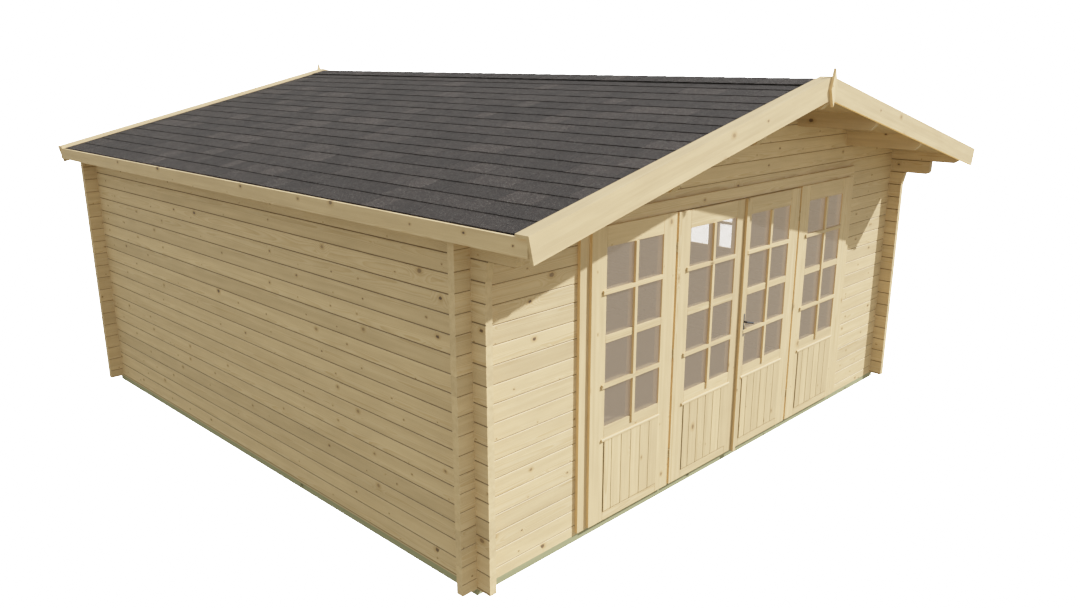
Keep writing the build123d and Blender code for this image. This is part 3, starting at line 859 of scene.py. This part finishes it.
def make_window():
    """Casing, frame, sash and bars of the window in the right wall."""
    low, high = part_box("window_frame")
    sash_low, sash_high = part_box("window_sash")
    glass_low, glass_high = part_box("window_glass")
    y = (low.y, high.y)
    z = (low.z, high.z)
    outer_face = high.x - window_casing_thickness
    inner_face = low.x + window_casing_thickness
    casing_width = window_casing_width - window_casing_gap
    mesh = Joined("window_surround", seed=41)
    ring_boards(mesh, (outer_face, high.x), y, z, casing_width)
    ring_boards(mesh, (low.x, inner_face), y, z, casing_width)
    lap = window_casing_width - window_frame_width + window_casing_gap
    y_lining = (y[0] + lap, y[1] - lap)
    z_lining = (z[0] + lap, z[1] - lap)
    ring_boards(mesh, (inner_face, outer_face), y_lining, z_lining, window_frame_width)
    mesh.finish([board_wood_y, board_wood_z], "cabin", arris, ("window_frame",))
    sash = Joined("window_casement", seed=42)
    ring_boards(sash, (sash_low.x, sash_high.x), (sash_low.y, sash_high.y), (sash_low.z, sash_high.z),
                window_sash_width)
    sash.finish([board_wood_y, board_wood_z], "cabin", arris, ("window_sash",))
    bars = Joined("window_bars", seed=43)
    middle = (glass_low.y + glass_high.y) / 2
    third = (glass_high.z - glass_low.z) / 3
    half = window_bar_width / 2
    outside = (sash_high.x, glass_high.x, -bar_setback)
    inside = (sash_low.x, glass_low.x, bar_setback)
    for x_face, x_glass, setback in (outside, inside):
        upright_x = sorted((x_glass, x_face + setback))
        bars.box(upright_x, (middle - half, middle + half), (glass_low.z, glass_high.z), UPRIGHT)
        level_x = sorted((x_glass, x_face))
        for level in (glass_low.z + third, glass_high.z - third):
            bars.box(level_x, (glass_low.y, glass_high.y), (level - half, level + half), ACROSS)
    bars.finish([board_wood_y, board_wood_z], "cabin", arris)


def slope_point(side, down, y, lift, ridge_height):
    """A point on one roof slope, from its distance down the slope and its lift off a plane."""
    x = down * math.cos(roof_pitch) + lift * math.sin(roof_pitch)
    z = ridge_height - down * math.sin(roof_pitch) + lift * math.cos(roof_pitch)
    return side * x, y, z


def add_tab(mesh, side, down_range, y_range, ridge_height, lift_jitter):
    """One shingle tab, its upper end tucked under the course above."""
    top, edge = down_range
    loops = []
    for y in y_range:
        wander = mesh.random.uniform(-tab_unevenness, tab_unevenness) / 2
        lift = tab_lift + lift_jitter
        loops.append([
            slope_point(side, top, y, tab_top_lift, ridge_height),
            slope_point(side, edge + wander, y, lift, ridge_height),
            slope_point(side, edge + wander, y, lift + tab_thickness, ridge_height),
            slope_point(side, top, y, tab_top_lift + tab_thickness, ridge_height),
        ])
    mesh.solid(*loops)


def make_shingles():
    """Straight courses of bitumen shingles with tabs of several widths on both slopes."""
    for label, side, seed in (("left", -1, 51), ("right", 1, 52)):
        low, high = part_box(f"shingles_{label}")
        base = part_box(f"roof_deck_{label}")[1].z
        edge_down = max(abs(low.x), abs(high.x)) / math.cos(roof_pitch)
        mesh = Joined(f"shingle_courses_{label}", seed)
        corners = ((0.0, 0.0), (edge_down, 0.0), (edge_down, underlay_thickness), (0.0, underlay_thickness))
        underlay = [slope_point(side, down, low.y, lift, base) for down, lift in corners]
        mesh.solid(underlay, [(x, high.y, z) for x, _, z in underlay])
        edge = first_course_edge
        while edge < edge_down:
            top = max(edge - course_pitch - tab_headlap, ridge_clearance)
            y = low.y - mesh.random.uniform(0.0, tab_widths[-1])
            while y < high.y:
                width = mesh.random.choice(tab_widths)
                y_range = (max(y, low.y), min(y + width - tab_slot, high.y))
                if y_range[1] - y_range[0] > tab_slot:
                    lift_jitter = mesh.random.uniform(*tab_lift_jitter)
                    tab_edge = edge + mesh.random.uniform(-tab_edge_jitter, tab_edge_jitter)
                    add_tab(mesh, side, (top, tab_edge), y_range, base, lift_jitter)
                y += width
            edge += course_pitch
        mesh.finish([shingle_felt], "cabin", replaces=(f"shingles_{label}",))


def make_ridge_cap():
    """Folded shingle pieces that lap along the ridge."""
    low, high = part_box("ridge_cap")
    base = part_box("shingles_left")[1].z
    mesh = Joined("ridge_pieces", seed=53)
    reach = ridge_half_width / math.cos(roof_pitch)
    corners = ((-1, reach), (1, 0.0), (1, reach))
    y = high.y
    while y > low.y + ridge_piece_overlap:
        near = max(y - ridge_piece_length - ridge_piece_overlap, low.y)
        loops = []
        for place, lift in ((y, ridge_tucked_lift), (near, ridge_lapped_lift)):
            upper = lift + ridge_piece_thickness
            bottom = [slope_point(*corner, place, lift, base) for corner in corners]
            top = [slope_point(*corner, place, upper, base) for corner in reversed(corners)]
            loops.append(bottom + top)
        mesh.solid(*loops)
        y -= ridge_piece_length
    mesh.finish([shingle_felt], "cabin", replaces=("ridge_cap",))


def make_roof_boards():
    """Roof boards from ridge to eave, with V-joints on their underside."""
    for label, side, seed in (("left", -1, 61), ("right", 1, 62)):
        low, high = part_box(f"roof_deck_{label}")
        reach = max(abs(low.x), abs(high.x))
        ridge_underside = low.z + slope * reach
        rise = high.z - ridge_underside
        count = round((high.y - low.y) / roof_board_width)
        width = (high.y - low.y) / count
        mesh = Joined(f"roof_boards_{label}", seed)
        for index in range(count):
            left = low.y + index * width
            right = left + width
            outline = [
                (left, roof_board_chamfer), (left + roof_board_chamfer, 0.0),
                (right - roof_board_chamfer, 0.0), (right, roof_board_chamfer), (right, rise), (left, rise),
            ]
            loops = []
            for x in (0.0, reach):
                loops.append([(side * x, y, ridge_underside - slope * x + lift) for y, lift in outline])
            mesh.solid(*loops)
        mesh.finish([roof_board_wood], "cabin", replaces=(f"roof_deck_{label}",))


def disc(mesh, centre, radius, y_range, corners):
    """A short round solid that points out of the door."""
    outline = []
    for index in range(corners):
        angle = 2 * math.pi * index / corners
        outline.append((centre[0] + radius * math.cos(angle), centre[1] + radius * math.sin(angle)))
    mesh.prism("y", outline, *y_range)


def make_lock_detail():
    """Key cylinder and plate screws on both sides of the right leaf."""
    low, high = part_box("door_backplates")
    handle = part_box("door_lever")[1].z - lever_radius
    x = (low.x + high.x) / 2
    cylinder = Joined("lock_cylinder", seed=71)
    screws = Joined("backplate_screws", seed=72)
    level = handle - keyhole_drop
    for face, out in ((low.y, -1), (high.y, 1)):
        cylinder_y = sorted((face - out * cylinder_root, face + out * cylinder_height))
        disc(cylinder, (x, level), cylinder_radius, cylinder_y, cylinder_corners)
        half = cylinder_radius * cylinder_foot_share
        foot_z = (level - cylinder_foot_drop, level - cylinder_radius / 2)
        cylinder.box((x - half, x + half), cylinder_y, foot_z)
        screw_y = sorted((face - out * screw_root, face + out * screw_height))
        for z in (low.z + screw_inset, high.z - screw_inset):
            disc(screws, (x, z), screw_radius, screw_y, screw_corners)
    cylinder.finish([zinc_steel], "right_leaf", small_arris)
    screws.finish([grey_iron], "right_leaf", small_arris)


def dress(materials):
    """Give each CAD node its material."""
    for node, material in materials.items():
        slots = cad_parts[node].data.materials
        slots.clear()
        slots.append(material)


def dress_cad_nodes():
    """Materials of the nodes that show as they are."""
    dress({
        "foundation_side_beams": beam_wood_y,
        "foundation_cross_beams": beam_wood_x,
        "front_wall_left": log_wood_x,
        "front_wall_right": log_wood_x,
        "front_gable": log_wood_x,
        "rear_wall": log_wood_x,
        "left_wall": log_wood_y,
        "right_wall_lower": log_wood_y,
        "right_wall_front_bay": log_wood_y,
        "right_wall_rear_bay": log_wood_y,
        "right_wall_upper": log_wood_y,
        "ridge_purlin": purlin_wood,
        "upper_purlins": purlin_wood,
        "lower_purlins": purlin_wood,
        "eave_fascias": purlin_wood,
        "bargeboards_left": sloping_wood,
        "bargeboards_right": sloping_wood,
        "cap_strips_left": sloping_wood,
        "cap_strips_right": sloping_wood,
        "finials": upright_wood,
        "door_posts": upright_wood,
        "door_casing_sides": upright_wood,
        "door_cover_strip": upright_wood,
        "door_head": level_wood,
        "door_casing_head": level_wood,
        "door_threshold": level_wood,
        "side_panel_glass": pane_glass,
        "door_glass_left": pane_glass,
        "door_glass_right": pane_glass,
        "window_glass": pane_glass,
        "door_hinge_pins": hinge_steel,
        "door_hinges_left": hinge_steel,
        "door_hinges_right": hinge_steel,
        "door_backplates": grey_iron,
        "door_lever": black_iron,
    })


def make_tone_curve():
    """Ease bright colours towards white, as a photograph does."""
    view = bpy.context.scene.view_settings
    view.view_transform = "Standard"
    view.use_curve_mapping = True
    mapping = view.curve_mapping
    mapping.extend = "HORIZONTAL"
    mapping.white_level = (tone_white, tone_white, tone_white)
    curve = mapping.curves[COMBINED_CURVE]
    for stop in tone_stops:
        curve.points.new(stop, 1.0 - math.exp(-tone_white * stop))
    mapping.update()


def make_camera():
    """The photograph's view."""
    lens = bpy.data.cameras.new("photo_camera")
    lens.lens = camera_lens
    lens.sensor_width = camera_sensor
    camera = bpy.data.objects.new("photo_camera", lens)
    camera.location = camera_place
    camera.rotation_euler = (camera_tilt, 0.0, camera_turn)
    bpy.context.scene.collection.objects.link(camera)
    bpy.context.scene.camera = camera


def make_sun():
    """Crisp daylight from high up at the front right."""
    light = bpy.data.lights.new("sun", "SUN")
    light.energy = sun_strength
    light.color = sun_colour
    light.angle = sun_angle
    sun = bpy.data.objects.new("sun", light)
    sun.rotation_euler = sun_travel.to_track_quat("-Z", "Y").to_euler()
    bpy.context.scene.collection.objects.link(sun)


def make_sky():
    """White behind the cabin to the camera, and a soft even fill for all else."""
    world = bpy.data.worlds.new("studio")
    bpy.context.scene.world = world
    world.use_nodes = True
    nodes = world.node_tree.nodes
    links = world.node_tree.links
    fill = nodes["Background"]
    fill.inputs["Color"].default_value = (*sky_colour, 1.0)
    fill.inputs["Strength"].default_value = sky_strength
    backdrop = nodes.new("ShaderNodeBackground")
    backdrop.inputs["Color"].default_value = (*white, 1.0)
    backdrop.inputs["Strength"].default_value = backdrop_strength
    path = nodes.new("ShaderNodeLightPath")
    choice = nodes.new("ShaderNodeMixShader")
    links.new(path.outputs["Is Camera Ray"], choice.inputs[0])
    links.new(fill.outputs[0], choice.inputs[1])
    links.new(backdrop.outputs[0], choice.inputs[2])
    links.new(choice.outputs[0], nodes["World Output"].inputs["Surface"])


def make_floor():
    """A floor that is pale to the camera, sends a modest warm light up, and is plain brown in the cabin."""
    shader = Shader("pale_floor")
    low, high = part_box("foundation_side_beams")
    x, y, _ = shader.split(shader.places.outputs["Object"])
    beside = shader.math("GREATER_THAN", shader.math("ABSOLUTE", x), high.x - floor_inset)
    middle = (low.y + high.y) / 2
    along = shader.math("ABSOLUTE", shader.math("SUBTRACT", y, middle))
    beyond = shader.math("GREATER_THAN", along, high.y - middle - floor_inset)
    outside = shader.math("MAXIMUM", beside, beyond)
    camera_ray = shader.node("ShaderNodeLightPath").outputs["Is Camera Ray"]
    shader.set("Base Color", shader.mix(outside, floor_inside_colour, floor_colour))
    shader.surface.inputs["Roughness"].default_value = floor_roughness
    shader.set("Emission Color", shader.mix(camera_ray, floor_glow_colour, white))
    glow = shader.remap(camera_ray, 0.0, 1.0, floor_glow, backdrop_strength)
    shader.set("Emission Strength", shader.math("MULTIPLY", outside, glow))
    mesh = bpy.data.meshes.new("floor")
    half = floor_size / 2
    mesh.from_pydata([(-half, -half, 0.0), (half, -half, 0.0), (half, half, 0.0), (-half, half, 0.0)], [],
                     [(0, 1, 2, 3)])
    mesh.materials.append(shader.material)
    floor = bpy.data.objects.new("floor", mesh)
    bpy.context.scene.collection.objects.link(floor)


make_tone_curve()
make_camera()
make_sun()
make_sky()
make_floor()
dress_cad_nodes()
make_door_set()
make_window()
make_shingles()
make_ridge_cap()
make_roof_boards()
make_lock_detail()
